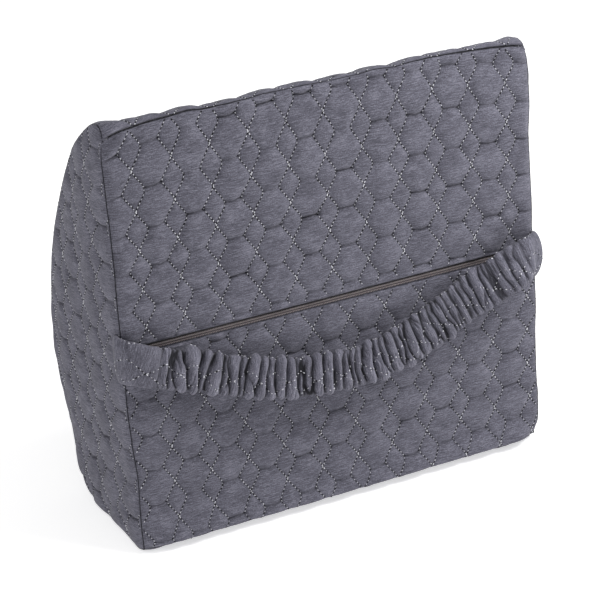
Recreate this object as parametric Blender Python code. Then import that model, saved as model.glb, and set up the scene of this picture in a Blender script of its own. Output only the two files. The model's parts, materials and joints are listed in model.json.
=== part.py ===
"""Lumbar back cushion: a foam core in a quilted, zipped knit cover with a gathered elastic strap.

The cushion is modelled upright in its own frame, x to the right, y from the flat back panel
towards the belly and z up the back panel, and that frame is then leaned back on the flat base.
"""

import bmesh
import bpy
from math import cos, pi, radians, sin, tan
from mathutils import Matrix, Vector
from mathutils.geometry import interpolate_bezier

MM = 0.001

# Driving dimensions, in millimetres and degrees.
WIDTH = 340.0
PANEL_HEIGHT = 313.4
LEAN = 8.0
BASE_DROP = 6.0
END_DOME = 4.5
DOME_RINGS = (1.0, 0.86, 0.62, 0.32)
OUTLINE_STEPS = 8

# Layers of the quilted cloth: depth below the cover's outer face.
KNIT = (0.0, 1.2)
WADDING = (1.5, 4.5)
BACKING = (4.8, 5.2)
FOAM_INSET = 5.5
SEAM_GAP = 0.3
CORNER_REACH = 8.0
CORNER_CHAMFER = 2.0
TOP_LAP = 4.5
LAYER_HEM = 4.0
LAYER_INSET = 1.5
BASE_LAP = 2.0
LAYER_REACH = {KNIT: KNIT[1] + SEAM_GAP, WADDING: CORNER_REACH, BACKING: CORNER_REACH}

# Zipper, centred at half height of the back panel.
ZIP_Z = 153.5
ZIP_SLOT = 3.2
ZIP_END = WIDTH / 2 - 1.5
TAPE_INNER_EDGE = 0.55
TAPE_WIDTH = 12.0
TAPE_Y = (1.5, 2.1)
COIL_WIDTH = 1.75
COIL_Y = (-0.2, 1.2)
COIL_ROUND = 0.35

# Slider and its pull, at the closed end of the zipper.
SLIDER_X = 150.0
SLIDER_HALF_LENGTH = 4.5
SLIDER_HALF_WIDTH = 3.0
TOP_PLATE_Y = (-1.6, -0.5)
LOWER_PLATE_Y = (2.4, 3.1)
PLATE_STEP = 0.3
DIVIDER = ((-2.0, -0.9, -0.22), (3.0, 2.8, 0.22))
BRIDGE_HALF_LENGTH = 3.9
BRIDGE_HALF_WIDTH = 0.6
BRIDGE_Y = (-4.2, -3.4)
POST_Y = (-3.9, -1.2)
POST_THICKNESS = 1.0
PULL_AXIS_Y = -2.5
PULL_REACH = 12.5
PULL_EYE_END = 4.6
PULL_HALF_WIDTH = 2.2
PULL_HALF_THICKNESS = 0.45
EYE_HALF_THICKNESS = 0.4
EYE_ARM_Z = (1.3, 2.1)

# Strap: an elastic band in a gathered sleeve, sewn into both side seams.
STRAP_AXIS_Y = -8.0
STRAP_AXIS_Z = 152.0
STRAP_TILT = 12.0
STRAP_SAG = 48.0
STRAP_HALF_SPAN = 165.0
STRAP_SKEW = 0.16
LOOP_LEFT = -122.0
LOOP_RIGHT = 110.0
LOOP_GAP = 0.5
SLEEVE_HALF_WIDTH = 15.0
SLEEVE_HALF_THICKNESS = 3.5
SEWN_HALF_WIDTH = 19.0
SEWN_HALF_THICKNESS = 2.0
BORE_HALF_WIDTH = 13.2
BORE_HALF_THICKNESS = 1.1
ELASTIC_HALF_WIDTH = 12.5
ELASTIC_HALF_THICKNESS = 0.7

# Centre of each fixed strap end from the loop to the side seam: x, y, z.
LEFT_END_ROUTE = ((-150.0, -9.8, 142.0), (-162.0, -9.0, 147.0), (-170.4, -7.4, 149.5), (-172.2, -3.2, 150.0))
RIGHT_END_ROUTE = (
    (126.0, -15.5, 142.0),
    (140.0, -19.6, 150.0),
    (152.0, -20.4, 154.5),
    (163.0, -17.5, 155.0),
    (170.8, -10.5, 152.0),
    (172.4, -3.4, 150.0),
)

KNIT_GREY = (0.137, 0.137, 0.160)
WADDING_WHITE = (0.80, 0.80, 0.78)
BACKING_GREY = (0.45, 0.45, 0.46)
FOAM_CREAM = (0.78, 0.72, 0.55)
TAPE_TAUPE = (0.125, 0.105, 0.100)
METAL_GREY = (0.42, 0.41, 0.40)
ELASTIC_WHITE = (0.72, 0.72, 0.70)


def clear_scene():
    for obj in list(bpy.data.objects):
        bpy.data.objects.remove(obj, do_unlink=True)


def make_material(name, color, roughness, metallic=0.0):
    material = bpy.data.materials.new(name)
    material.use_nodes = True
    shader = material.node_tree.nodes["Principled BSDF"]
    shader.inputs["Base Color"].default_value = (*color, 1.0)
    shader.inputs["Roughness"].default_value = roughness
    shader.inputs["Metallic"].default_value = metallic
    return material


def make_object(name, bm, material, parent, origin=(0.0, 0.0, 0.0)):
    """Turn a bmesh in millimetres into an object whose own origin is at `origin`."""
    bmesh.ops.recalc_face_normals(bm, faces=bm.faces)
    bmesh.ops.transform(bm, matrix=Matrix.Translation(-Vector(origin)), verts=bm.verts)
    bmesh.ops.scale(bm, vec=(MM, MM, MM), verts=bm.verts)
    mesh = bpy.data.meshes.new(name)
    bm.to_mesh(mesh)
    bm.free()
    mesh.materials.append(material)
    obj = bpy.data.objects.new(name, mesh)
    bpy.context.scene.collection.objects.link(obj)
    obj.parent = parent
    parent_origin = Vector(parent.get("origin_mm", (0.0, 0.0, 0.0)))
    obj.location = (Vector(origin) - parent_origin) * MM
    obj["origin_mm"] = tuple(origin)
    return obj


def add_box(bm, low, high, bevel=0.0):
    """Add a box between two corners, with its long edges rounded when a bevel is given."""
    result = bmesh.ops.create_cube(bm, size=1.0)
    size = Vector(high) - Vector(low)
    centre = (Vector(high) + Vector(low)) / 2
    bmesh.ops.scale(bm, vec=size, verts=result["verts"])
    bmesh.ops.translate(bm, vec=centre, verts=result["verts"])
    if bevel:
        edges = {edge for vert in result["verts"] for edge in vert.link_edges}
        bmesh.ops.bevel(bm, geom=list(edges), offset=bevel, segments=1, affect="EDGES")


def box_object(name, low, high, material, parent, bevel=0.0):
    bm = bmesh.new()
    add_box(bm, low, high, bevel)
    return make_object(name, bm, material, parent)


def thick_sheet(outer, inner):
    """Close two matching grids of points into one sheet of cloth with thickness."""
    bm = bmesh.new()
    layers = []
    for grid in (outer, inner):
        layers.append([[bm.verts.new(point) for point in row] for row in grid])
    rows = len(outer)
    columns = len(outer[0])
    for layer in layers:
        for i in range(rows - 1):
            for j in range(columns - 1):
                bm.faces.new((layer[i][j], layer[i][j + 1], layer[i + 1][j + 1], layer[i + 1][j]))
    top, bottom = layers
    for i in range(rows - 1):
        for j in (0, columns - 1):
            bm.faces.new((top[i][j], top[i + 1][j], bottom[i + 1][j], bottom[i][j]))
    for j in range(columns - 1):
        for i in (0, rows - 1):
            bm.faces.new((top[i][j], top[i][j + 1], bottom[i][j + 1], bottom[i][j]))
    return bm


def front_arc(samples=7):
    """The cover's side outline from the lower back seam round base, belly and crest: (y, z)."""
    floor = tan(radians(LEAN))
    base_back = (7.0, 7.0 * floor - BASE_DROP)
    base_front = (84.0, 84.0 * floor - BASE_DROP)
    pieces = (
        ((0.0, 0.0), (0.0, -3.2), (3.0, base_back[1] - 4.0 * floor), base_back),
        (base_back, (30.0, 30.0 * floor - BASE_DROP), (60.0, 60.0 * floor - BASE_DROP), base_front),
        (base_front, (97.0, 97.0 * floor - BASE_DROP), (106.0, 28.0), (111.5, 54.0)),
        ((111.5, 54.0), (116.2, 77.0), (126.5, 104.0), (126.5, 129.0)),
        ((126.5, 129.0), (126.5, 161.0), (112.0, 201.5), (100.2, 222.9)),
        ((100.2, 222.9), (88.5, 244.0), (65.5, 282.5), (48.0, 297.8)),
        ((48.0, 297.8), (36.0, 308.3), (18.5, 322.5), (9.0, 322.5)),
        ((9.0, 322.5), (3.5, 322.5), (0.0, 319.0), (0.0, PANEL_HEIGHT)),
    )
    points = []
    for piece in pieces:
        knots = [Vector((y, z, 0.0)) for y, z in piece]
        points += [Vector((p.x, p.y)) for p in interpolate_bezier(*knots, samples)][:-1]
    points.append(Vector((0.0, PANEL_HEIGHT)))
    return points


def inset_arc(depth, y_min):
    """The part of the front arc beyond y_min, moved in by depth along its normal."""
    arc = front_arc()
    moved = []
    for index, point in enumerate(arc):
        if point.x < y_min:
            continue
        before = arc[max(index - 1, 0)]
        after = arc[min(index + 1, len(arc) - 1)]
        along = (after - before).normalized()
        moved.append(point + Vector((-along.y, along.x)) * depth)
    return moved


def outline(depth):
    """The closed side outline moved in by depth, with its straight back edge."""
    arc = inset_arc(depth, depth + CORNER_CHAMFER)
    low_corner = Vector((depth, arc[0].y + CORNER_CHAMFER))
    high_corner = Vector((depth, min(arc[-1].y, PANEL_HEIGHT - depth)))
    back = [high_corner.lerp(low_corner, step / OUTLINE_STEPS) for step in range(OUTLINE_STEPS + 1)]
    return arc + back


def front_panel(name, layer, half_width, material, parent):
    grids = []
    for depth in layer:
        arc = inset_arc(depth, LAYER_REACH[layer])
        grids.append([[(x, y, z) for y, z in arc] for x in (-half_width, half_width)])
    return make_object(name, thick_sheet(*grids), material, parent)


def back_panel(name, layer, half_width, z_range, material, parent):
    low = (-half_width, layer[0], z_range[0])
    high = (half_width, layer[1], z_range[1])
    return box_object(name, low, high, material, parent)


def end_panel(name, side, faces, depth, domed, material, parent):
    """One layer of an end panel: rings of the side outline, domed out towards the middle."""
    rim = outline(depth)
    middle = sum(rim, Vector((0.0, 0.0))) / len(rim)
    bm = bmesh.new()
    skins = []
    for x, dome in zip(faces, domed):
        rings = []
        for factor in DOME_RINGS:
            height = x + dome * (1.0 - factor**2)
            ring = [middle + (point - middle) * factor for point in rim]
            rings.append([bm.verts.new((side * height, p.x, p.y)) for p in ring])
        tip = bm.verts.new((side * (x + dome), middle.x, middle.y))
        skins.append(rings)
        for ring_a, ring_b in zip(rings, rings[1:]):
            bridge_rings(bm, ring_a, ring_b)
        for index, vert in enumerate(rings[-1]):
            bm.faces.new((vert, rings[-1][(index + 1) % len(rim)], tip))
    bridge_rings(bm, skins[0][0], skins[1][0])
    return make_object(name, bm, material, parent)


def bridge_rings(bm, ring_a, ring_b):
    count = len(ring_a)
    for i in range(count):
        j = (i + 1) % count
        bm.faces.new((ring_a[i], ring_a[j], ring_b[j], ring_b[i]))


def foam_core(material, parent):
    rim = outline(FOAM_INSET)
    half = WIDTH / 2 - FOAM_INSET
    bm = bmesh.new()
    ends = []
    for x in (-half, half):
        ends.append([bm.verts.new((x, p.x, p.y)) for p in rim])
    bridge_rings(bm, *ends)
    for end in ends:
        middle = sum(rim, Vector((0.0, 0.0))) / len(rim)
        tip = bm.verts.new((end[0].co.x, middle.x, middle.y))
        for index, vert in enumerate(end):
            bm.faces.new((vert, end[(index + 1) % len(end)], tip))
    return make_object("foam_core", bm, material, parent)


def quilted_panels(materials, parent):
    """The five cut pieces of the cover, each of face knit, wadding and backing."""
    layers = (("knit", KNIT), ("wadding", WADDING), ("backing", BACKING))
    for label, layer in layers:
        material = materials[label]
        face = layer is KNIT
        half = WIDTH / 2 if face else WIDTH / 2 - LAYER_INSET
        slot = ZIP_SLOT if face else TAPE_INNER_EDGE + TAPE_WIDTH + SEAM_GAP
        front_panel(f"front_panel_{label}", layer, half, material, parent)
        upper = (ZIP_Z + slot, PANEL_HEIGHT + (TOP_LAP if face else -LAYER_HEM))
        lower = (-BASE_LAP if face else LAYER_HEM, ZIP_Z - slot)
        back_panel(f"back_panel_upper_{label}", layer, half, upper, material, parent)
        back_panel(f"back_panel_lower_{label}", layer, half, lower, material, parent)
        depth = layer[1] + SEAM_GAP if face else FOAM_INSET
        faces = (WIDTH / 2 - layer[0], WIDTH / 2 - layer[1])
        domes = {"knit": (END_DOME, END_DOME), "wadding": (END_DOME, 0.0), "backing": (0.0, 0.0)}
        for side, word in ((-1.0, "left"), (1.0, "right")):
            end_panel(f"end_panel_{word}_{label}", side, faces, depth, domes[label], material, parent)


def zipper_chain(material, parent):
    """The two tapes under the folded panel edges, each with its strand of coil on its edge."""
    for side, word in ((1.0, "upper"), (-1.0, "lower")):
        tape = sorted((ZIP_Z + side * TAPE_INNER_EDGE, ZIP_Z + side * (TAPE_INNER_EDGE + TAPE_WIDTH)))
        coil = sorted((ZIP_Z + side * TAPE_INNER_EDGE, ZIP_Z + side * (TAPE_INNER_EDGE + COIL_WIDTH)))
        low = (-ZIP_END, TAPE_Y[0], tape[0])
        high = (ZIP_END, TAPE_Y[1], tape[1])
        box_object(f"zipper_tape_{word}", low, high, material, parent)
        low = (-ZIP_END, COIL_Y[0], coil[0])
        high = (ZIP_END, COIL_Y[1], coil[1])
        box_object(f"zipper_coil_{word}", low, high, material, parent, bevel=COIL_ROUND)


def join_solids(name, boxes, material, parent, origin):
    """Union several boxes, given from the origin, into one casting."""
    body = None
    for index, (low, high, bevel) in enumerate(boxes):
        bm = bmesh.new()
        add_box(bm, Vector(low) + Vector(origin), Vector(high) + Vector(origin), bevel)
        if index == 0:
            body = make_object(name, bm, material, parent, origin)
            continue
        tool = make_object(f"{name}_guide_{index}", bm, material, parent, origin)
        tool.hide_render = True
        tool.display_type = "WIRE"
        modifier = body.modifiers.new(f"join_{index}", "BOOLEAN")
        modifier.operation = "UNION"
        modifier.object = tool
    return body


def zipper_slider(material, parent):
    """Top plate, divider post, lower plate and the bridge that carries the pull."""
    length, width = SLIDER_HALF_LENGTH, SLIDER_HALF_WIDTH
    low_length, low_width = length - PLATE_STEP, width - PLATE_STEP
    bridge, post = BRIDGE_HALF_LENGTH, BRIDGE_HALF_LENGTH - POST_THICKNESS
    half = BRIDGE_HALF_WIDTH
    boxes = (
        ((-length, TOP_PLATE_Y[0], -width), (length, TOP_PLATE_Y[1], width), 0.3),
        (*DIVIDER, 0.0),
        ((-low_length, LOWER_PLATE_Y[0], -low_width), (low_length, LOWER_PLATE_Y[1], low_width), 0.2),
        ((-bridge, BRIDGE_Y[0], -half), (bridge, BRIDGE_Y[1], half), 0.15),
        ((-bridge, POST_Y[0], -half), (-post, POST_Y[1], half), 0.0),
        ((post, POST_Y[0], -half), (bridge, POST_Y[1], half), 0.0),
    )
    return join_solids("zipper_slider", boxes, material, parent, (SLIDER_X, 0.0, ZIP_Z))


def pull_tab(material, parent):
    """A flat tab whose eye hangs on the slider's bridge; its own origin is on the eye's bar."""
    bar = PULL_HALF_THICKNESS
    arm_end = PULL_EYE_END + 0.6
    low, high = EYE_ARM_Z
    thin = EYE_HALF_THICKNESS
    boxes = (
        ((PULL_EYE_END, -bar, -PULL_HALF_WIDTH), (PULL_REACH, bar, PULL_HALF_WIDTH), 0.2),
        ((-bar, -thin, low), (arm_end, thin, high), 0.0),
        ((-bar, -thin, -high), (arm_end, thin, -low), 0.0),
        ((-bar, -thin, -low - 0.5), (bar, thin, low + 0.5), 0.0),
    )
    return join_solids("zipper_pull_tab", boxes, material, parent, (SLIDER_X, PULL_AXIS_Y, ZIP_Z))


def loop_drop(x):
    """How far the strap's centre hangs below its hinge line at x; steeper on the right."""
    reach = x / STRAP_HALF_SPAN
    skewed = reach + STRAP_SKEW * (reach + 1.0) * max(reach, 0.0) * (1.2 - reach)
    return STRAP_SAG * cos(pi / 2 * min(skewed, 1.0))


def loop_stations(steps=36):
    """Centre, width vector and thickness vector of each section of the free loop."""
    tilt = radians(STRAP_TILT)
    down = Vector((0.0, -sin(tilt), -cos(tilt)))
    out = Vector((0.0, -cos(tilt), sin(tilt)))
    axis = Vector((0.0, STRAP_AXIS_Y, STRAP_AXIS_Z))
    stations = []
    for step in range(steps + 1):
        x = LOOP_LEFT + (LOOP_RIGHT - LOOP_LEFT) * step / steps
        slope = loop_drop(x + 0.5) - loop_drop(x - 0.5)
        stretch = (1.0 + slope**2) ** 0.5
        centre = axis + Vector((x, 0.0, 0.0)) + down * loop_drop(x)
        stations.append((centre, down * stretch, out, 0.0))
    return stations


def smooth_route(points, per_span=4):
    """A Catmull-Rom curve through the points."""
    padded = [points[0] * 2 - points[1], *points, points[-1] * 2 - points[-2]]
    route = []
    for a, b, c, d in zip(padded, padded[1:], padded[2:], padded[3:]):
        for step in range(per_span):
            t = step / per_span
            route.append(
                0.5 * ((2 * b) + (c - a) * t + (2 * a - 5 * b + 4 * c - d) * t**2 + (3 * b - a - 3 * c + d) * t**3)
            )
    route.append(points[-1])
    return route


def end_stations(side):
    """Sections of a fixed strap end, from just beyond the loop to the side seam."""
    loop = loop_stations()
    start = loop[0] if side < 0 else loop[-1]
    waypoints = LEFT_END_ROUTE if side < 0 else RIGHT_END_ROUTE
    first = start[0] + Vector((side * LOOP_GAP, 0.0, 0.0))
    route = smooth_route([first, *[Vector(point) for point in waypoints]])
    stations = []
    for index, centre in enumerate(route):
        share = index / (len(route) - 1)
        before = route[max(index - 1, 0)]
        after = route[min(index + 1, len(route) - 1)]
        along = (after - before) * side
        flat = Vector((along.x, along.y, 0.0)).normalized()
        if index == 0:
            flat = Vector((1.0, 0.0, 0.0))
        tilt = radians(STRAP_TILT) * max(0.0, 1.0 - 2.0 * share)
        stretch = 1.0 + (start[1].length - 1.0) * (1.0 - share)
        down = Vector((0.0, -sin(tilt), -cos(tilt))) * stretch
        stations.append((centre, down, Vector((flat.y, -flat.x, 0.0)), share))
    return stations


def band_ring(station, half_width, half_thickness, corners=5):
    """A closed ring of points: a flat band's section with round edges."""
    centre, width_vector, thick_vector, _ = station
    straight = half_width - half_thickness
    ring = []
    for side in (1.0, -1.0):
        for corner in range(corners):
            turn = pi * (corner / (corners - 1) - 0.5)
            width = side * (straight + half_thickness * cos(turn))
            thickness = side * half_thickness * sin(turn)
            ring.append(centre + width_vector * width + thick_vector * thickness)
    return ring


def strap_tube(name, stations, material, parent, origin):
    """The gathered sleeve: a flat fabric tube, open at both ends, round the elastic."""
    bm = bmesh.new()
    outer = []
    inner = []
    for station in stations:
        share = station[3] ** 2
        half_width = SLEEVE_HALF_WIDTH + (SEWN_HALF_WIDTH - SLEEVE_HALF_WIDTH) * share
        half_thickness = SLEEVE_HALF_THICKNESS + (SEWN_HALF_THICKNESS - SLEEVE_HALF_THICKNESS) * share
        outer.append([bm.verts.new(p) for p in band_ring(station, half_width, half_thickness)])
        inner.append([bm.verts.new(p) for p in band_ring(station, BORE_HALF_WIDTH, BORE_HALF_THICKNESS)])
    for rings in (outer, inner):
        for ring_a, ring_b in zip(rings, rings[1:]):
            bridge_rings(bm, ring_a, ring_b)
    bridge_rings(bm, outer[0], inner[0])
    bridge_rings(bm, outer[-1], inner[-1])
    return make_object(name, bm, material, parent, origin)


def strap_band(name, stations, material, parent, origin):
    """The woven elastic inside the sleeve."""
    bm = bmesh.new()
    rings = []
    for station in stations:
        ring = band_ring(station, ELASTIC_HALF_WIDTH, ELASTIC_HALF_THICKNESS, corners=3)
        rings.append([bm.verts.new(p) for p in ring])
    for ring_a, ring_b in zip(rings, rings[1:]):
        bridge_rings(bm, ring_a, ring_b)
    bm.faces.new(rings[0])
    bm.faces.new(rings[-1])
    return make_object(name, bm, material, parent, origin)


def strap(materials, parent):
    """The free loop hangs on the line between its sewn ends; the ends stay with the seams."""
    axis = (0.0, STRAP_AXIS_Y, STRAP_AXIS_Z)
    stations = loop_stations()
    strap_tube("strap_sleeve", stations, materials["knit"], parent, axis)
    strap_band("strap_elastic", stations, materials["elastic"], parent, axis)
    for side, word in ((-1, "left"), (1, "right")):
        ends = end_stations(side)
        strap_tube(f"strap_sleeve_end_{word}", ends, materials["knit"], parent, axis)
        strap_band(f"strap_elastic_end_{word}", ends, materials["elastic"], parent, axis)


def leaning_frame():
    """The empty that leans the cushion back on its base."""
    frame = bpy.data.objects.new("cushion_frame", None)
    bpy.context.scene.collection.objects.link(frame)
    frame.rotation_euler = (radians(-LEAN), 0.0, 0.0)
    frame.location.z = BASE_DROP * cos(radians(LEAN)) * MM
    return frame


def centre_over_origin(frame):
    """Slide the frame along y until the whole object's box is centred on the origin."""
    bpy.context.view_layer.update()
    solids = [obj for obj in bpy.data.objects if obj.type == "MESH" and not obj.hide_render]
    depths = [(obj.matrix_world @ vert.co).y for obj in solids for vert in obj.data.vertices]
    frame.location.y = -(min(depths) + max(depths)) / 2


def build():
    clear_scene()
    materials = {
        "knit": make_material("quilted_knit", KNIT_GREY, 0.95),
        "wadding": make_material("polyester_wadding", WADDING_WHITE, 1.0),
        "backing": make_material("backing_scrim", BACKING_GREY, 0.9),
        "foam": make_material("memory_foam", FOAM_CREAM, 1.0),
        "tape": make_material("zipper_nylon", TAPE_TAUPE, 0.6),
        "metal": make_material("slider_metal", METAL_GREY, 0.35, 1.0),
        "elastic": make_material("woven_elastic", ELASTIC_WHITE, 0.8),
    }
    frame = leaning_frame()
    foam_core(materials["foam"], frame)
    quilted_panels(materials, frame)
    zipper_chain(materials["tape"], frame)
    slider = zipper_slider(materials["metal"], frame)
    pull_tab(materials["metal"], slider)
    strap(materials, frame)
    centre_over_origin(frame)


build()
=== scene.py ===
"""Looks of the lumbar back cushion: quilted cover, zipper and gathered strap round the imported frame.

Every surface is made in the cushion's own frame, in millimetres: x to the right, y from the flat
back panel towards the belly and z up the back panel. place() turns that into the row's frame.
"""

import json
from math import cos, pi, radians, sin, tan

import bpy
import numpy as np
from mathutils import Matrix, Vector
from mathutils.bvhtree import BVHTree


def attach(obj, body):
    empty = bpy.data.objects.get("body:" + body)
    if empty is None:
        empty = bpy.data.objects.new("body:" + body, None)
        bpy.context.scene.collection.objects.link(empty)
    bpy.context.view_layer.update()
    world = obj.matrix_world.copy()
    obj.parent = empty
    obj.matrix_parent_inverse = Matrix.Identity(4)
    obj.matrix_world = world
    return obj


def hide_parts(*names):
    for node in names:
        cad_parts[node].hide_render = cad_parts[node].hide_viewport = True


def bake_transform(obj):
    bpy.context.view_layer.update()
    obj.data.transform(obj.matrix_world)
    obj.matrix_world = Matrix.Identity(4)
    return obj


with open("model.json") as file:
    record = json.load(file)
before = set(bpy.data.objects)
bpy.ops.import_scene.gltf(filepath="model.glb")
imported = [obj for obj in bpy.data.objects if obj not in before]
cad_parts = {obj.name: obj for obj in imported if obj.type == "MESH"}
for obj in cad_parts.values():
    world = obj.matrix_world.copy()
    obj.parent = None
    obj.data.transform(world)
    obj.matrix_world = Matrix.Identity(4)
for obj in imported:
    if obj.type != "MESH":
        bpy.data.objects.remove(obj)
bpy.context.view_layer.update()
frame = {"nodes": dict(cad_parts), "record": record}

# The cushion's own frame, read from the mount on its back panel.
BACK_MOUNT_HEIGHT = 230.0
MM = 0.001
back_mount = next(m for m in frame["record"]["mounts"] if m["name"] == "back_face")
RIGHT = np.array((1.0, 0.0, 0.0))
INWARD = -np.array(back_mount["axis"], float)
UP = np.cross(RIGHT, INWARD)
ORIGIN = np.array(back_mount["pos_m"], float) - UP * BACK_MOUNT_HEIGHT * MM
LEAN_SLOPE = tan(np.arctan2(UP[1], UP[2]))

# Sizes shared with the CAD, in millimetres.
HALF_WIDTH = 170.0
PANEL_HEIGHT = 313.4
BASE_DROP = 6.0
ZIP_Z = 153.5
STRAP_AXIS_Y = -8.0
STRAP_AXIS_Z = 152.0
STRAP_TILT = radians(12.0)

# The cover's own detail, in millimetres.
ZIP_SLOT = 1.95
END_DOME = 3.4
CREST_RISE = 6.1
BASE_SEAM = 3.6
FOAM_INSET = 5.0
FOAM_TOP_CLEARANCE = 2.0
SEAM_SLIT = 0.3
SEAM_CORD = 0.30
SEAM_SUNK = 0.62
CORD_SIDES = 6
SLAB = 3.4
INNER_COLUMN_STEP = 8
DIAMOND_HALF = 8.6
STITCH = 3.0
CROWN = 1.5
SEAM_ROLL = 1.6
BASE_SAG = 6.5
SIDE_SEAM_WAVE = 1.5
CREST_WAVE = 0.8

# Quilting of each panel: middle of a chain, chain pitch, a crossing's height, period, slope, bow.
QUILTING = {
    "back_panel_upper": (0.0, 29.9, 285.0, 28.8, 0.009, 8.5),
    "back_panel_lower": (-19.2, 30.1, 108.3, 27.8, 0.050, 0.0),
    "front_panel": (4.0, 29.9, 12.0, 28.6, 0.0, 3.0),
    "end_panel_left": (-4.0, 29.0, 290.0, 28.4, 0.0, 0.0),
    "end_panel_right": (4.0, 29.0, 290.0, 28.4, 0.0, 0.0),
}

rng = np.random.default_rng(7)


# ---------------------------------------------------------------- placing and meshes


def place(points):
    """Points in the cushion's frame, in millimetres, as points in the row's frame, in metres."""
    points = np.asarray(points, float)
    return ORIGIN + (points @ np.array((RIGHT, INWARD, UP))) * MM


def add_object(name, data):
    obj = bpy.data.objects.new(name, data)
    bpy.context.scene.collection.objects.link(obj)
    return obj


def new_mesh(name, points, faces):
    mesh = bpy.data.meshes.new(name)
    mesh.from_pydata(place(points), [], faces)
    mesh.polygons.foreach_set("use_smooth", np.full(len(mesh.polygons), True))
    mesh.update()
    return add_object(name, mesh)


def add_cloth_coordinates(obj, coordinates):
    """Where each point lies on the flat cloth, in millimetres, and how much painted shade it takes, from 0 to
    1; below 0 it is painted highlight.
    """
    attribute = obj.data.attributes.new("cloth", "FLOAT_VECTOR", "POINT")
    attribute.data.foreach_set("vector", np.asarray(coordinates, np.float32).ravel())


def grid_faces(rows, columns, flip=False, wrap=False, start=0):
    """Quads of a grid of points; wrap joins the last column to the first."""
    i, j = np.meshgrid(np.arange(rows - 1), np.arange(columns if wrap else columns - 1), indexing="ij")
    k = (j + 1) % columns
    quads = np.stack((i * columns + j, i * columns + k, (i + 1) * columns + k, (i + 1) * columns + j), -1)
    quads = quads.reshape(-1, 4) + start
    return (quads[:, ::-1] if flip else quads).tolist()


def tube_faces(rows, columns, start=0):
    """Faces of a closed tube: rings of points from end to end, with a cap on both ends."""
    last = start + (rows - 1) * columns
    caps = [list(range(start, start + columns))[::-1], list(range(last, last + columns))]
    return grid_faces(rows, columns, wrap=True, start=start) + caps


def turned(face, flip):
    return face[::-1] if flip else face


def unit(vectors):
    return vectors / (np.linalg.norm(vectors, axis=-1, keepdims=True) + 1e-12)


def distance_along(line):
    """Distance travelled at each point of a polyline."""
    steps = np.linalg.norm(np.diff(line, axis=0), axis=1)
    return np.concatenate(([0.0], np.cumsum(steps)))


def cord_rings(line, radius, helper):
    """Rings of a round cord along a line; helper is a direction that the line never takes."""
    tangent = unit(np.gradient(line, axis=0))
    first = unit(np.cross(tangent, helper))
    second = np.cross(tangent, first)
    angle = (np.arange(CORD_SIDES) * 2 * pi / CORD_SIDES)[None, :, None]
    return line[:, None] + radius * (np.cos(angle) * first[:, None] + np.sin(angle) * second[:, None])


def smoothstep(low, high, value):
    t = np.clip((value - low) / (high - low), 0.0, 1.0)
    return t * t * (3 - 2 * t)


def value_noise(u, v, seed):
    """Smooth noise from -1 to 1 with features one unit across."""
    table = np.random.default_rng(seed).uniform(-1.0, 1.0, (64, 64))
    iu, iv = np.floor(u).astype(int), np.floor(v).astype(int)
    fu, fv = u - iu, v - iv
    fu, fv = fu * fu * (3 - 2 * fu), fv * fv * (3 - 2 * fv)
    a, b = table[iu % 64, iv % 64], table[(iu + 1) % 64, iv % 64]
    c, d = table[iu % 64, (iv + 1) % 64], table[(iu + 1) % 64, (iv + 1) % 64]
    return (a * (1 - fu) + b * fu) * (1 - fv) + (c * (1 - fu) + d * fu) * fv


# ---------------------------------------------------------------- the cover's shape


def bezier(a, b, c, d, count=24):
    t = np.linspace(0.0, 1.0, count)[:, None]
    a, b, c, d = (np.array(p, float) for p in (a, b, c, d))
    return a * (1 - t) ** 3 + 3 * b * t * (1 - t) ** 2 + 3 * c * t**2 * (1 - t) + d * t**3


def join(*pieces):
    return np.concatenate([pieces[0], *[piece[1:] for piece in pieces[1:]]])


def resample(line, count):
    """Points evenly spaced along a polyline."""
    travel = distance_along(line)
    wanted = np.linspace(0.0, travel[-1], count)
    return np.stack([np.interp(wanted, travel, line[:, k]) for k in range(line.shape[1])], -1)


def side_outline():
    """The end panel's outline as three sides beyond its straight back edge: base, front and crest."""
    base_back = (7.0, 7.0 * LEAN_SLOPE - BASE_DROP)
    base_front = (84.0, 84.0 * LEAN_SLOPE - BASE_DROP)
    base = join(
        bezier((0.0, -BASE_SEAM), (0.2, -5.0), (3.0, base_back[1] - 4.0 * LEAN_SLOPE), base_back),
        np.array((base_back, base_front)),
    )
    front = join(
        bezier(base_front, (97.0, 97.0 * LEAN_SLOPE - BASE_DROP), (106.0, 28.0), (111.5, 54.0)),
        bezier((111.5, 54.0), (116.2, 77.0), (126.5, 104.0), (126.5, 129.0)),
        bezier((126.5, 129.0), (126.5, 161.0), (112.0, 201.5), (100.2, 222.9)),
        bezier((100.2, 222.9), (88.5, 244.0), (65.5, 282.5), (48.0, 297.8)),
        bezier((48.0, 297.8), (36.0, 308.3), (18.5, 322.0), (9.0, 322.0)),
    )
    crest = bezier((0.0, PANEL_HEIGHT), (0.0, 319.0), (3.5, 322.0), (9.0, 322.0))
    return base, front, crest


# How finely the panels are laid out before refining.
COLUMNS = 43
SIDE_ROWS = 20
DEPTH_COLUMNS = 12


def bow_crest(points):
    """Lifts the top seam in the middle and lets the crest behind it fall away from it there."""
    x, y, z = points[..., 0], points[..., 1], points[..., 2]
    middle = 1.0 - np.abs(x / HALF_WIDTH) ** 5
    fall = 1.0 - np.where(x < 0, 1.0, 0.58) * np.abs(x / HALF_WIDTH) ** 3.4
    near_top = smoothstep(PANEL_HEIGHT - 60.0, PANEL_HEIGHT, z)
    lifted = z + middle * CREST_RISE * near_top * smoothstep(12.0, 0.0, y)
    flush = PANEL_HEIGHT + middle * CREST_RISE - 0.38 * y + 0.18 * np.maximum(z - PANEL_HEIGHT, 0.0)
    flush += 0.4 * smoothstep(0.0, 6.0, y)
    result = points.copy()
    result[..., 2] = lifted + fall * (np.minimum(lifted, flush) - lifted)
    return result


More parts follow.
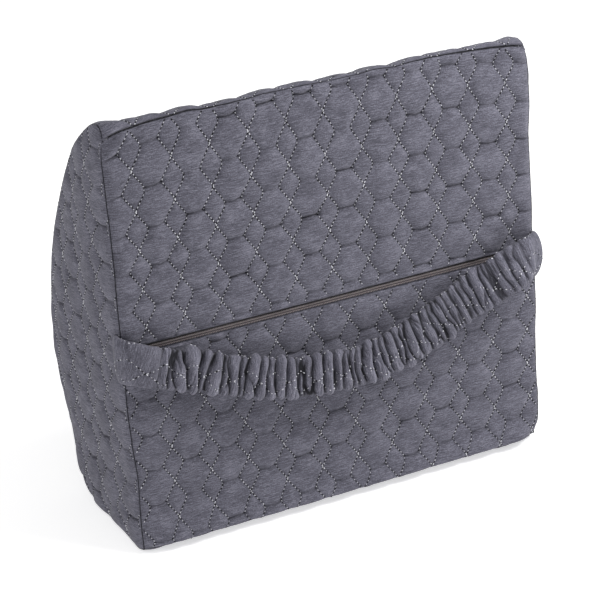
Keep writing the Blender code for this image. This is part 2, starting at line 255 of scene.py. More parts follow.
# Where the cover is drawn in: the corner, the way it is drawn, how far, and how far round it.
CORNERS = (
    ((170.0, 0.0, -3.0), (-0.72, 0.30, 0.62), 4.4, 9.0),
    ((-170.0, 0.0, -1.0), (0.55, 0.40, 0.73), 1.6, 9.0),
    ((170.0, 2.0, 316.0), (-0.70, 0.20, -0.68), 2.4, 12.0),
    ((-170.0, 2.0, 316.0), (0.10, 0.30, -0.95), 2.2, 9.0),
    ((170.0, 92.0, 6.0), (-0.60, -0.55, 0.58), 6.0, 18.0),
    ((-170.0, 92.0, 6.0), (0.60, -0.55, 0.58), 2.0, 14.0),
)


def pull_corners(points):
    """Draws the cover's corners in, where three panels meet, and lets its seams wander."""
    result = points.copy()
    for corner, way, depth, reach in CORNERS:
        distance = np.linalg.norm(points - np.array(corner), axis=-1)
        result += np.array(way) * (depth * np.exp(-((distance / reach) ** 2)))[..., None]
    x, y, z = points[..., 0], points[..., 1], points[..., 2]
    left, right = smoothstep(-110.0, -HALF_WIDTH, x), smoothstep(110.0, HALF_WIDTH, x)
    slack_back = 1.6 * smoothstep(60.0, 15.0, y) * np.exp(-(((z - 45.0) / 60.0) ** 2))
    full_front = 2.6 * smoothstep(50.0, 105.0, y)
    result[..., 0] += (slack_back - full_front) * left + 1.2 * right
    side = smoothstep(120.0, HALF_WIDTH, np.abs(x))
    result[..., 0] += SIDE_SEAM_WAVE * side * value_noise(z / 27.0 + 3.0, np.sign(x) * 2.0 + 9.0, 81)
    crest = smoothstep(PANEL_HEIGHT - 40.0, PANEL_HEIGHT, z)
    result[..., 2] += CREST_WAVE * crest * value_noise(x / 15.0, np.full_like(x, 4.0), 82)
    return result


def coarse_panels():
    """Each panel as a coarse grid of points, with the cloth coordinates of each point."""
    base, front, crest = side_outline()
    x = np.linspace(-HALF_WIDTH, HALF_WIDTH, COLUMNS)
    lower_z = np.linspace(-BASE_SEAM, ZIP_Z - ZIP_SLOT, SIDE_ROWS)
    upper_z = np.linspace(ZIP_Z + ZIP_SLOT, PANEL_HEIGHT, SIDE_ROWS + 1)
    panels = {}
    for name, z in (("back_panel_lower", lower_z), ("back_panel_upper", upper_z)):
        grid_z, grid_x = np.meshgrid(z, x, indexing="ij")
        points = np.stack((grid_x, np.zeros_like(grid_x), grid_z), -1)
        panels[name] = (points, np.stack((grid_x, grid_z), -1))
    rows = len(lower_z) + len(upper_z)
    profile = join(resample(base, DEPTH_COLUMNS), resample(front, rows), resample(crest, DEPTH_COLUMNS)[::-1])
    grid_v, grid_x = np.meshgrid(distance_along(profile), x, indexing="ij")
    points = np.stack((grid_x, *np.broadcast_arrays(profile[:, :1], profile[:, 1:], grid_x)[:2]), -1)
    panels["front_panel"] = (points, np.stack((grid_x, grid_v), -1))
    sheet = coons(
        np.stack((np.zeros(rows), np.concatenate((lower_z, upper_z))), -1),
        resample(front, rows),
        resample(base, DEPTH_COLUMNS),
        resample(crest, DEPTH_COLUMNS),
    )
    for side, word in ((-1.0, "left"), (1.0, "right")):
        points = np.concatenate((np.full((*sheet.shape[:2], 1), side * HALF_WIDTH), sheet), -1)
        panels[f"end_panel_{word}"] = (points, sheet * (-side, 1.0))
    return {name: (bow_crest(points), cloth) for name, (points, cloth) in panels.items()}


def coons(start_side, end_side, first_row, last_row):
    """A grid between four sides: rows run from start_side to end_side."""
    rows, columns = len(start_side), len(first_row)
    t = np.linspace(0.0, 1.0, rows)[:, None, None]
    s = np.linspace(0.0, 1.0, columns)[None, :, None]
    across = start_side[:, None] * (1 - s) + end_side[:, None] * s
    along = first_row[None] * (1 - t) + last_row[None] * t
    corners = (1 - t) * ((1 - s) * start_side[0] + s * end_side[0]) + t * (
        (1 - s) * start_side[-1] + s * end_side[-1]
    )
    return across + along - corners


def refine(grid, row_factor, column_factor):
    """A finer grid through the same points, on Catmull-Rom curves."""
    for axis, factor in ((0, row_factor), (1, column_factor)):
        grid = np.swapaxes(grid, 0, axis)
        padded = np.concatenate((2 * grid[:1] - grid[1:2], grid, 2 * grid[-1:] - grid[-2:-1]))
        a, b, c, d = padded[:-3], padded[1:-2], padded[2:-1], padded[3:]
        spans = []
        for step in range(factor):
            t = step / factor
            square, cube = 2 * a - 5 * b + 4 * c - d, 3 * b - a - 3 * c + d
            spans.append(0.5 * (2 * b + (c - a) * t + square * t**2 + cube * t**3))
        fine = np.stack(spans, 1).reshape(-1, *grid.shape[1:])
        grid = np.swapaxes(np.concatenate((fine, grid[-1:])), 0, axis)
    return grid


def grid_normals(grid, outward):
    """Unit normals of a grid, on the side that outward points to."""
    normal = unit(np.cross(np.gradient(grid, axis=0), np.gradient(grid, axis=1)))
    middle = normal[normal.shape[0] // 2, normal.shape[1] // 2]
    return normal if middle @ np.array(outward) > 0 else -normal


def side_distances(grid):
    """Distance of each point from each of its panel's four sides, along the grid's lines."""
    sides = []
    for axis in (0, 1):
        steps = np.linalg.norm(np.diff(grid, axis=axis), axis=-1)
        zero = np.zeros_like(np.take(steps, [0], axis=axis))
        travel = np.concatenate((zero, np.cumsum(steps, axis=axis)), axis=axis)
        sides += [travel, np.take(travel, [-1], axis=axis) - travel]
    return sides


def edge_distance(sides, soft=3.0):
    """Distance from the nearest side, rounded off in the corners."""
    total = sum(np.exp(-side / soft) for side in sides)
    return np.maximum(-soft * np.log(total), 0.0)


def open_slit(grid, sides):
    """Draws the panel's rim back from the seam, which leaves a narrow dark slit."""
    result = grid.copy()
    for axis in (0, 1):
        pull = np.exp(-sides[2 * axis] / 0.9) - np.exp(-sides[2 * axis + 1] / 0.9)
        result += unit(np.gradient(grid, axis=axis)) * (SEAM_SLIT * pull)[..., None]
    return result


def crowd_edges(grid):
    """Adds grid lines just inside the four sides, so that the seam's roll is sharp."""
    for axis in (0, 1):
        grid = np.swapaxes(grid, 0, axis)
        shares = (0.22, 0.5, 0.78)
        first = [grid[:1] * (1 - t) + grid[1:2] * t for t in shares]
        last = [grid[-2:-1] * (1 - t) + grid[-1:] * t for t in shares]
        grid = np.concatenate((grid[:1], *first, grid[1:-1], *last, grid[-1:]))
        grid = np.swapaxes(grid, 0, axis)
    return grid


# ---------------------------------------------------------------- quilting


def chain_half_width(phase):
    """How far the two stitch lines of a chain stand from its middle; phase 0 is a crossing."""
    straight = 1.0 - np.abs(2.0 * phase - 1.0)
    round_ = 0.5 - 0.5 * np.cos(2 * pi * phase)
    return DIAMOND_HALF * (0.65 * straight + 0.35 * round_)


def stitch_line(turns, side):
    """Distance of one of a chain's two stitch lines from its middle; they swap sides at crossings."""
    return np.where(np.floor(turns) % 2 == 0, side, -side) * chain_half_width(turns - np.floor(turns))


def quilt_turns(u, v, panel):
    """How many periods up its chain a point lies."""
    _, _, row, period, slope, bow = QUILTING[panel]
    return (v - row - slope * u - bow * (1.0 - (u / 155.0) ** 2)) / period


LINE_SLANT = 0.86
LINK_PERIOD = 28.5


def quilt_height(u, v, panel):
    """Height of the puffed cloth above its stitch lines, and the painted shade each point takes in creases
    and along stitch lines.
    """
    middle, pitch = QUILTING[panel][:2]
    chain = np.round((u - middle) / pitch)
    offset = u - middle - chain * pitch
    turns = quilt_turns(u, v, panel)
    phase = turns - np.floor(turns)
    half = chain_half_width(phase)
    to_line = np.minimum(np.abs(offset - half), np.abs(offset + half)) * LINE_SLANT
    inside = np.abs(offset) < half
    puff = np.where(inside, 1.2, 1.95)
    height = puff * (1.0 - np.exp(-((to_line / 2.9) ** 1.15)))
    # Painted shade along each stitch line, added to the crease shade.
    painted_stitch_shade = 0.30 * np.exp(-((to_line / 0.9) ** 2))
    depth, sharp = crease_depth(offset, phase, chain, np.floor(turns), pitch)
    if panel == "back_panel_lower":
        depth, sharp = 0.8 * depth, 0.75 * sharp
    return height - depth, np.clip(sharp + painted_stitch_shade, 0.0, 1.0)


def crease_depth(offset, phase, chain, row, pitch):
    """The short creases that join the side corners of neighbouring diamonds: their depth, and the painted
    shade along their sharp middle.
    """
    side = np.where(offset < 0, -1.0, 1.0)
    gap = pitch / 2 - DIAMOND_HALF
    along = (np.abs(offset) - DIAMOND_HALF) / gap
    link = chain + side * 0.5
    wander = value_noise(link * 3.7 + 5.0, row * 2.3 + 9.0, 11) * 1.1
    bow = wander * smoothstep(0.0, 1.0, along)
    distance = (phase - 0.5) * LINK_PERIOD - bow
    strength = 0.80 + 0.60 * value_noise(link * 1.9, row * 4.1, 23)
    reach = strength * smoothstep(-0.5, 0.1, along)
    sharp = np.exp(-((np.abs(distance) / 0.8) ** 1.3))
    broad = np.exp(-((np.abs(distance) / 4.2) ** 1.4))
    # The second value is painted shade along the crease's sharp middle.
    return reach * (1.1 * sharp + 0.9 * broad), 0.66 * reach * sharp


def soft_relief(u, v, seed):
    """Slow unevenness of the cloth, in millimetres."""
    slow = value_noise(u / 46.0 + 3.1, v / 38.0 + 7.7, seed)
    middle = value_noise(u / 17.0, v / 13.0, seed + 1)
    fine = value_noise(u / 6.0, v / 3.4, seed + 2)
    return 0.9 * slow + 0.35 * middle + 0.10 * fine


# ---------------------------------------------------------------- panels


# The way each panel faces, and into how many steps its rows and columns are refined.
OUTWARD = {
    "back_panel_upper": (0.0, -1.0, 0.0),
    "back_panel_lower": (0.0, -1.0, 0.0),
    "front_panel": (0.0, 1.0, 0.0),
    "end_panel_left": (-1.0, 0.0, 0.0),
    "end_panel_right": (1.0, 0.0, 0.0),
}
FINE = {
    "back_panel_upper": (12, 6),
    "back_panel_lower": (12, 6),
    "front_panel": (9, 5),
    "end_panel_left": (9, 7),
    "end_panel_right": (9, 7),
}


def panel_surface(name, points, cloth):
    """The panel's outer face: fine grid, crown, seam roll, quilting and unevenness, with painted shade for
    its creases, stitch lines and seams.
    """
    grid = pull_corners(crowd_edges(refine(points, *FINE[name])))
    cloth = crowd_edges(refine(cloth, *FINE[name]))
    normal = grid_normals(grid, OUTWARD[name])
    seams = seam_lines(name, grid, normal)
    sides = side_distances(grid)
    edge = edge_distance(sides)
    nearest = edge_distance(sides, 0.4)
    grid = open_slit(grid, sides)
    u, v = cloth[..., 0], cloth[..., 1]
    if name.startswith("back_panel"):
        zip_side = sides[0] if name.endswith("upper") else sides[1]
        along_zip = smoothstep(9.0, 1.0, zip_side)
        edge = np.maximum(edge, 5.0 * along_zip * smoothstep(0.6, 2.0, nearest))
    fade = smoothstep(0.3, 6.0, edge)
    roll = 0.2 - SEAM_ROLL * np.exp(-((nearest / 0.9) ** 1.1))
    lift = CROWN * smoothstep(0.0, 6.0, edge)
    seed = 31 + 10 * sorted(OUTWARD).index(name)
    quilting, painted_crease_shade = quilt_height(u, v, name)
    height = roll + lift + fade * (quilting - 1.6) + fade * soft_relief(u, v, seed)
    # Painted shade in the quilting's creases, and a band of painted shade along every seam.
    painted_crease_shade = fade * painted_crease_shade + 0.30 * np.exp(-((nearest / 1.2) ** 2))
    if name == "back_panel_lower":
        near_side = np.minimum(sides[2], sides[3])
        sag = smoothstep(0.0, 5.0, edge) * (0.4 + 0.6 * smoothstep(2.0, 24.0, near_side))
        height = height + BASE_SAG * sag * np.exp(-(((v - 2.0) / 12.0) ** 2))
    if name.startswith("end_panel"):
        height = height + END_DOME * smoothstep(0.0, 34.0, edge)
    surface = grid + normal * height[..., None]
    floor = surface[..., 1] * LEAN_SLOPE - BASE_DROP + 0.1
    surface[..., 2] = np.maximum(surface[..., 2], floor)
    return surface, cloth, normal, painted_crease_shade, seams


# The way the neighbouring panel faces beyond each side: left, right, first row and last row.
NEIGHBOURS = {
    "back_panel_lower": ((-1.0, 0.0, 0.0), (1.0, 0.0, 0.0), (0.0, -0.2, -1.0), None),
    "back_panel_upper": ((-1.0, 0.0, 0.0), (1.0, 0.0, 0.0), None, (0.0, -0.4, 0.9)),
    "front_panel": ((-1.0, 0.0, 0.0), (1.0, 0.0, 0.0), None, None),
}


def seam_lines(name, grid, normal):
    """Where a dark cord of painted shade runs in each seam's slit, sunk between a panel's rim and the panel
    sewn to it.
    """
    rims, outs = ((part[:, 0], part[:, -1], part[0], part[-1]) for part in (grid, normal))
    return [
        rim - SEAM_SUNK * (out + np.array(neighbour))
        for rim, out, neighbour in zip(rims, outs, NEIGHBOURS.get(name, ()))
        if neighbour
    ]


def seam_cords(name, lines):
    """Painted seam shade as thin round dark cords of slightly uneven thickness."""
    points, faces = [], []
    for line in lines:
        line = resample(line, int(distance_along(line)[-1] / 2.0))
        radius = SEAM_CORD * (1.0 + 0.12 * rng.normal(0.0, 1.0, (len(line), 1, 1)))
        faces += tube_faces(len(line), CORD_SIDES, start=sum(len(part) for part in points))
        points.append(cord_rings(line, radius, (0.36, 0.48, 0.80)).reshape(-1, 3))
    return new_mesh(name, np.concatenate(points), faces)


def slab_object(name, surface, cloth, normal, painted_crease_shade):
    """A closed quilted panel: the fine outer face, and an inner face with fewer columns."""
    rows, columns = surface.shape[:2]
    flip = np.cross(surface[1, 0] - surface[0, 0], surface[0, 1] - surface[0, 0]) @ normal[0, 0] > 0
    start = rows * columns
    kept = np.append(np.arange(0, columns - 1, INNER_COLUMN_STEP), columns - 1)
    inner = surface[:, kept] - normal[:, kept] * SLAB
    width = len(kept)
    faces = grid_faces(rows, columns, flip=flip)
    faces += grid_faces(rows, width, flip=not flip, start=start)
    for i in range(rows - 1):
        low, high = start + i * width, start + (i + 1) * width
        faces.append(turned([i * columns, (i + 1) * columns, high, low], flip))
        end = i * columns + columns - 1
        faces.append(turned([end, low + width - 1, high + width - 1, end + columns], flip))
    first = [*range(start, start + width), *range(columns - 1, -1, -1)]
    last_row, last_inner = (rows - 1) * columns, start + (rows - 1) * width
    last = [*range(last_inner + width - 1, last_inner - 1, -1), *range(last_row, last_row + columns)]
    faces += [turned(first, flip), turned(last, flip)]
    obj = new_mesh(name, np.concatenate((surface.reshape(-1, 3), inner.reshape(-1, 3))), faces)
    # The third cloth coordinate is painted shade; the inner face gets none.
    flat = np.dstack((cloth, painted_crease_shade))
    inner_flat = np.dstack((cloth, np.zeros_like(painted_crease_shade)))[:, kept]
    add_cloth_coordinates(obj, np.concatenate((flat.reshape(-1, 3), inner_flat.reshape(-1, 3))))
    return obj


# ---------------------------------------------------------------- stitches


def chain_lines(panel, low, high):
    """Points a stitch apart along every stitch line between two cloth corners: (u, v, crossing)."""
    middle, pitch, _, period, _, _ = QUILTING[panel]
    first = int(np.floor((low[0] - middle) / pitch))
    last = int(np.ceil((high[0] - middle) / pitch))
    v = np.arange(low[1] - period, high[1] + period, 0.1)
    lines = []
    for chain in range(first, last + 1):
        centre = middle + chain * pitch
        turns = quilt_turns(centre, v, panel)
        for side in (-1.0, 1.0):
            line = np.stack((centre + stitch_line(turns, side), v), -1)
            travel = distance_along(line)
            stops = np.arange(0.3 * STITCH * (side + 1.0), travel[-1], STITCH)
            stops = stops + rng.normal(0.0, 0.18, len(stops))
            spots = [np.interp(stops, travel, line[:, k]) for k in range(2)]
            phase = quilt_turns(centre, spots[1], panel) % 1.0
            crossing = np.exp(-((np.minimum(phase, 1.0 - phase) / 0.11) ** 2))
            lines.append(np.stack((*spots, crossing), -1))
    return lines


STITCH_MARGIN = 1.3


def grid_sampler(surface, cloth, normal):
    """Looks up the surface and its normal at cloth coordinates, for panels with straight rows."""
    u_line, v_line = cloth[0, :, 0], cloth[:, 0, 1]

    def sample(points):
        j = np.interp(points[:, 0], u_line, np.arange(len(u_line)))
        i = np.interp(points[:, 1], v_line, np.arange(len(v_line)))
        i0 = np.clip(i.astype(int), 0, len(v_line) - 2)
        j0 = np.clip(j.astype(int), 0, len(u_line) - 2)
        fi, fj = (i - i0)[:, None], (j - j0)[:, None]
        out = []
        for source in (surface, normal):
            below = source[i0, j0] * (1 - fj) + source[i0, j0 + 1] * fj
            above = source[i0 + 1, j0] * (1 - fj) + source[i0 + 1, j0 + 1] * fj
            out.append(below * (1 - fi) + above * fi)
        return out

    low = np.array((u_line[0], v_line[0])) + STITCH_MARGIN
    high = np.array((u_line[-1], v_line[-1])) - STITCH_MARGIN

    def inside(points):
        return ((points[:, :2] > low) & (points[:, :2] < high)).all(1)

    return sample, inside


def end_sampler(surface, side):
    """Looks up an end panel's surface by rays along x."""
    rows, columns = surface.shape[:2]
    tree = BVHTree.FromPolygons([Vector(p) for p in surface.reshape(-1, 3)], grid_faces(rows, columns))

    def cast(point):
        start = Vector((side * 200.0, -side * point[0], point[1]))
        return tree.ray_cast(start, Vector((-side, 0.0, 0.0)))

    def sample(points):
        hits = [cast(point) for point in points]
        spots = np.array([hit[0] for hit in hits])
        return spots, np.tile((side, 0.0, 0.0), (len(points), 1))

    def inside(points):
        return np.array([cast(point)[0] is not None for point in points], bool)

    return sample, inside


def bead_mesh(profile, sides):
    """A closed bead along x: profile is (x, radius) from end to end, with points at both tips."""
    angles = np.arange(sides) * 2 * pi / sides
    rings = [[(x, r * cos(a), r * sin(a)) for a in angles] for x, r in profile[1:-1]]
    points = [(profile[0][0], 0.0, 0.0), *[p for ring in rings for p in ring], (profile[-1][0], 0.0, 0.0)]
    faces = []
    for k in range(sides):
        n = (k + 1) % sides
        faces.append((0, 1 + n, 1 + k))
        for ring in range(len(rings) - 1):
            a = 1 + ring * sides
            faces.append((a + k, a + n, a + sides + n, a + sides + k))
        a = 1 + (len(rings) - 1) * sides
        faces.append((a + k, a + n, len(points) - 1))
    return np.array(points), faces


def scatter(name, template, spots, along, normal, scale, sizes):
    """Copies of a small solid, with its x along the line and its z along the surface's normal."""
    points, faces = template
    along = unit(along - normal * (along * normal).sum(-1, keepdims=True))
    across = np.cross(normal, along)
    local = (points * np.array(scale))[None] * sizes[:, None, None]
    world = (
        spots[:, None]
        + local[..., :1] * along[:, None]
        + local[..., 1:2] * across[:, None]
        + local[..., 2:] * normal[:, None]
    )
    count = len(points)
    all_faces = []
    for k in range(len(spots)):
        all_faces += [tuple(index + k * count for index in face) for face in faces]
    return new_mesh(name, world.reshape(-1, 3), all_faces)


THREAD_PROFILE = ((-0.95, 0.0), (-0.75, 0.19), (-0.3, 0.40), (0.3, 0.40), (0.75, 0.19), (0.95, 0.0))
THREAD_BEAD = bead_mesh(THREAD_PROFILE, 6)
# The shape of a dark bead of painted shade that sits in a needle pit.
PIT_BEAD = bead_mesh(((-1.0, 0.0), (-0.6, 0.55), (0.6, 0.55), (1.0, 0.0)), 6)


def stitch_objects(name, lines, sample, inside):
    """The thread floats of all stitch lines, and near-black beads of painted shade in the needle pits between
    them.
    """
    floats, pit_shade_beads = [], []
    for line in lines:
        middle = (line[1:] + line[:-1]) / 2
        along = line[1:] - line[:-1]
        keep = inside(middle) & inside(line[1:]) & inside(line[:-1])
        if not keep.any():
            continue
        spots, normal = sample(middle[keep])
        ahead, _ = sample((middle + along * 0.2)[keep])
        floats.append((spots, ahead - spots, normal, 0.82 + 0.4 * middle[keep][:, 2]))
        spots, normal = sample(line[1:][keep])
        ahead, _ = sample((line[1:] - along * 0.2)[keep])
        pit_shade_beads.append((spots, spots - ahead, normal, np.ones(len(spots))))
    return bead_objects(name, floats, pit_shade_beads)


def bead_objects(name, floats, pit_shade_beads):
    """All thread floats of a piece as one object, and all its beads of painted shade in the needle pits as
    another.
    """
    objects = []
    for word, parts, template, lift, scale in (
        ("thread", floats, THREAD_BEAD, 0.12, (0.85, 1.0, 0.9)),
        ("painted_pit_shade", pit_shade_beads, PIT_BEAD, 0.06, (0.95, 1.05, 0.3)),
    ):
        spots, along, normal, sizes = (np.concatenate([part[k] for part in parts]) for k in range(4))
        sizes = sizes * rng.uniform(0.75, 1.1, len(spots))
        spots = spots + normal * lift
        objects.append(scatter(f"{name}_{word}", template, spots, along, normal, scale, sizes))
    return objects


# ---------------------------------------------------------------- strap


# The strap's centre line at its two sewn ends, as listed points, and the free loop's shape between them.
STRAP_SAG = 48.0
STRAP_HALF_SPAN = 165.0
STRAP_SKEW = 0.16
LEFT_END_ROUTE = (
    (-150.0, -12.8, 142.0),
    (-161.0, -11.0, 146.5),
    (-168.8, -7.4, 149.0),
    (-172.6, -1.2, 150.0),
    (-171.4, 5.0, 150.0),
)
RIGHT_END_ROUTE = (
    (126.0, -15.5, 141.5),
    (140.0, -18.6, 149.5),
    (150.0, -18.2, 153.0),
    (158.6, -15.2, 154.0),
    (165.4, -9.6, 153.0),
    (168.6, -3.0, 151.5),
    (168.2, 5.0, 150.5),
)
LOOP_LEFT = -122.0
LOOP_RIGHT = 110.0
SLEEVE_HALF_WIDTH = 14.6
SEWN_EXTRA_WIDTH = 3.0
FULL_EXTRA_WIDTH = 2.2
SLEEVE_HALF_THICKNESS = 3.9
SEWN_HALF_THICKNESS = 3.0
CLOTH_THICKNESS = 1.1
SLEEVE_CHAINS = (0.20, 0.60)
SLEEVE_PERIOD = 28.0
RING_STEP = 0.5
RING_POINTS = 72
ELASTIC_HALF_WIDTH = 11.5
ELASTIC_HALF_THICKNESS = 0.5
ELASTIC_ROOM = 1.8


def loop_drop(x):
    """How far the strap's centre hangs below its hinge line at x; steeper on the right."""
    reach = x / STRAP_HALF_SPAN
    skewed = reach + STRAP_SKEW * (reach + 1.0) * max(reach, 0.0) * (1.2 - reach)
    return STRAP_SAG * cos(pi / 2 * min(skewed, 1.0))


def strap_route(step):
    """The strap's centre line from the left seam to the right seam, with evenly spaced points."""
    points = [np.array(p) for p in LEFT_END_ROUTE[::-1]]
    for x in np.linspace(LOOP_LEFT, LOOP_RIGHT, 13):
        drop = loop_drop(x) * np.array((sin(STRAP_TILT), cos(STRAP_TILT)))
        points.append(np.array((x, STRAP_AXIS_Y - drop[0], STRAP_AXIS_Z - drop[1])))
    points += [np.array(p) for p in RIGHT_END_ROUTE]
    fine = refine(np.array(points)[:, None], 16, 1)[:, 0]
    length = distance_along(fine)[-1]
    return resample(fine, int(length / step)), length


def gather_folds(start, end):
    """The gathers' valleys: where each crosses the strap's middle, its slant, bow and fullness."""
    folds = []
    at, slant, bow = start, 0.5, 1.0
    while at < end:
        share = (at - start) / (end - start)
        slant = 0.55 * slant + rng.normal(0.0, 1.3)
        bow = 0.5 * bow + 0.5 * rng.normal(1.4, 2.0)
        folds.append((at, slant, bow, rng.uniform(0.62, 1.12)))
        widest = 11.5 - 2.5 * smoothstep(0.05, 0.35, share)
        at += rng.uniform(4.2, widest)
    return np.array(folds)


def gather_height(travel, across, folds, creases):
    """Relief of the gathered cloth in millimetres, from its valleys up to the lobes between."""
    middle, slant, bow, full = folds.T
    number = np.arange(len(folds)) * 5.3
    relief = np.empty((len(travel), len(across)))
    for k, w in enumerate(across):
        wobble = 1.1 * value_noise(number, 1.6 * w + 20.0 + 0.0 * number, 91)
        line = np.sort(middle + slant * w + bow * (w * w - 0.4) + wobble)
        index = np.clip(np.searchsorted(line, travel) - 1, 0, len(line) - 2)
        span = np.maximum(line[index + 1] - line[index], 2.0)
        share = np.clip((travel - line[index]) / span, 0.0, 1.0)
        lobe = np.clip(1.0 - np.abs(2 * share - 1) ** 2.0, 0.0, 1.0) ** 0.72
        relief[:, k] = lobe * full[index] * np.clip(0.80 * span, 3.4, 7.6)
    for at, centre, reach, lean, depth, width in creases:
        line = at + lean * (across - centre)
        window = np.exp(-(((across - centre) / reach) ** 4))
        distance = np.abs(travel[:, None] - line[None])
        relief -= depth * window[None] * np.exp(-((distance / width) ** 1.15))
    return relief


def draw_creases(start, end):
    """Short creases that stop part of the way across a lobe."""
    creases = []
    for _ in range(int((end - start) / 3.2)):
        side = rng.choice((-1.0, 1.0))
        centre = side * rng.uniform(0.25, 1.0)
        reach, lean = rng.uniform(0.25, 0.6), rng.normal(0.0, 3.6)
        depth, width = rng.uniform(1.0, 4.2), rng.uniform(0.7, 1.2)
        creases.append((rng.uniform(start, end), centre, reach, lean, depth, width))
    return creases


def strap_frame(step):
    """The strap's stations: centre, unit vectors down and out, distance travelled, and its length."""
    route, length = strap_route(step)
    travel = np.linspace(0.0, length, len(route))
    along = unit(np.gradient(route, axis=0))
    near_end = np.minimum(travel, length - travel)
    tilt = STRAP_TILT * smoothstep(15.0, 50.0, near_end)
    down = np.stack((np.zeros_like(tilt), -np.sin(tilt), -np.cos(tilt)), -1)
    down = unit(down - along * (down * along).sum(-1, keepdims=True))
    return route, down, np.cross(down, along), travel, length


def strap_section():
    """The sleeve's section: each point's place across and through it, and its normal's two parts."""
    angle = np.arange(RING_POINTS) * 2 * pi / RING_POINTS
    across, through = np.cos(angle), np.sin(angle)
    wide = np.sign(across) * np.abs(across) ** 0.8
    thick = np.sign(through) * np.abs(through) ** 0.55
    return wide, thick, across**3, np.sign(through) * (1.0 - np.abs(across) ** 3) ** 0.7


# The sleeve's unevenness: on its gathers or beside them, height, feature length, and noise settings.
UNEVENNESS = (
    (True, 0.9, 16.0, 1.4, 4.0, 71),
    (True, 0.30, 1.7, 1.1, 9.0, 72),
    (False, 1.5, 8.0, 0.7, 2.0, 73),
    (False, 0.5, 3.1, 0.8, 6.0, 74),
)
VALLEY_LEVEL = 3.7


def sleeve_relief(travel, length, wide, front):
    """How far the cloth stands off the plain tube, with painted shade in the gathers' valleys and painted
    highlight on their outward lobe tops.
    """
    start, end = 36.0, length - 20.0
    folds = gather_folds(start, end)
    relief = gather_height(travel, wide, folds, draw_creases(start, end))
    gathered = (smoothstep(32.0, 41.0, travel) * smoothstep(20.0, 44.0, length - travel))[:, None]
    beside = (1.0 - gathered) * smoothstep(6.0, 20.0, np.minimum(travel, length - travel))[:, None]
    calmer = 1.0 - 0.35 * smoothstep(0.72, 0.92, travel / length)[:, None]
    swell = gathered * (relief - VALLEY_LEVEL) * front * calmer
    for on_gathers, height, reach, across, offset, seed in UNEVENNESS:
        part = gathered if on_gathers else beside
        swell += part * height * value_noise(travel[:, None] / reach, wide[None] * across + offset, seed)
    # Painted shade in the valleys between the gathers.
    painted_shade_and_highlight = gathered * smoothstep(3.4, 0.2, relief) * calmer
    # Painted highlight on the lobe tops, stronger on the outer face.
    painted_shade_and_highlight -= 0.26 * gathered * smoothstep(3.0, 5.5, relief) * front
    return swell, painted_shade_and_highlight


def strap_surface():
    """The sleeve's outer face as rings of points, with cloth coordinates carrying painted shade and
    highlight, and outward normals.
    """
    route, down, out, travel, length = strap_frame(RING_STEP)
    wide, thick, wide_normal, thick_normal = strap_section()
    swell, painted_shade_and_highlight = sleeve_relief(travel, length, wide, np.where(thick > 0, 1.0, 0.5))
    left, right = travel, length - travel
    half_width = SLEEVE_HALF_WIDTH + SEWN_EXTRA_WIDTH * np.exp(-((left / 24.0) ** 2))
    half_width = half_width + FULL_EXTRA_WIDTH * smoothstep(0.5, 0.75, travel / length)
    fullness = smoothstep(4.0, 40.0, np.minimum(left, right))
    half_thick = SEWN_HALF_THICKNESS + (SLEEVE_HALF_THICKNESS - SEWN_HALF_THICKNESS) * fullness
    swell = np.maximum(swell, ELASTIC_ROOM - half_thick[:, None])
    dome = 3.2 * smoothstep(46.0, 22.0, right) * smoothstep(4.0, 14.0, right)
    dome += 1.2 * smoothstep(40.0, 20.0, left) * smoothstep(4.0, 14.0, left)
    bow = dome[:, None] * (1.0 - wide**2)
    rings = (
        route[:, None]
        + down[:, None] * (half_width[:, None] * wide + 0.62 * swell * wide_normal)[..., None]
        + out[:, None] * (half_thick[:, None] * thick + swell * thick_normal + bow)[..., None]
    )
    steps = np.linalg.norm(np.diff(rings, axis=0), axis=-1).mean(1)
    unrolled = np.concatenate(([0.0], np.cumsum(steps)))
    around = np.linalg.norm(np.roll(rings, -1, 1) - rings, axis=-1).mean(0)
    girth = np.concatenate(([0.0], np.cumsum(around)[:-1]))
    cloth = np.stack(np.broadcast_arrays(girth, unrolled[:, None], painted_shade_and_highlight), -1)
    normal = unit(np.cross(np.gradient(rings, axis=0), np.roll(rings, -1, 1) - np.roll(rings, 1, 1)))
    middle = len(rings) // 2
    if normal[middle, RING_POINTS // 4] @ out[middle] < 0:
        normal = -normal
    return rings, cloth, normal


def sleeve_half(name, rings, cloth, normal):
    """One half of the sleeve as a tube of cloth with its real thickness."""
    rows, columns = rings.shape[:2]
    inner = rings - normal * CLOTH_THICKNESS
    count = rows * columns
    outside = np.cross(rings[1, 0] - rings[0, 0], rings[0, 1] - rings[0, 0]) @ normal[0, 0] > 0
    faces = grid_faces(rows, columns, flip=outside, wrap=True)
    faces += grid_faces(rows, columns, flip=not outside, wrap=True, start=count)
    for row, flip in ((0, not outside), (rows - 1, outside)):
        for k in range(columns):
            a, b = row * columns + k, row * columns + (k + 1) % columns
            faces.append(turned([a, b, b + count, a + count], flip))
    obj = new_mesh(name, np.concatenate((rings.reshape(-1, 3), inner.reshape(-1, 3))), faces)
    add_cloth_coordinates(obj, np.concatenate((cloth.reshape(-1, 3),) * 2))
    return obj


def full_girth(cloth):
    return cloth[0, -1, 0] + cloth[0, 1, 0]


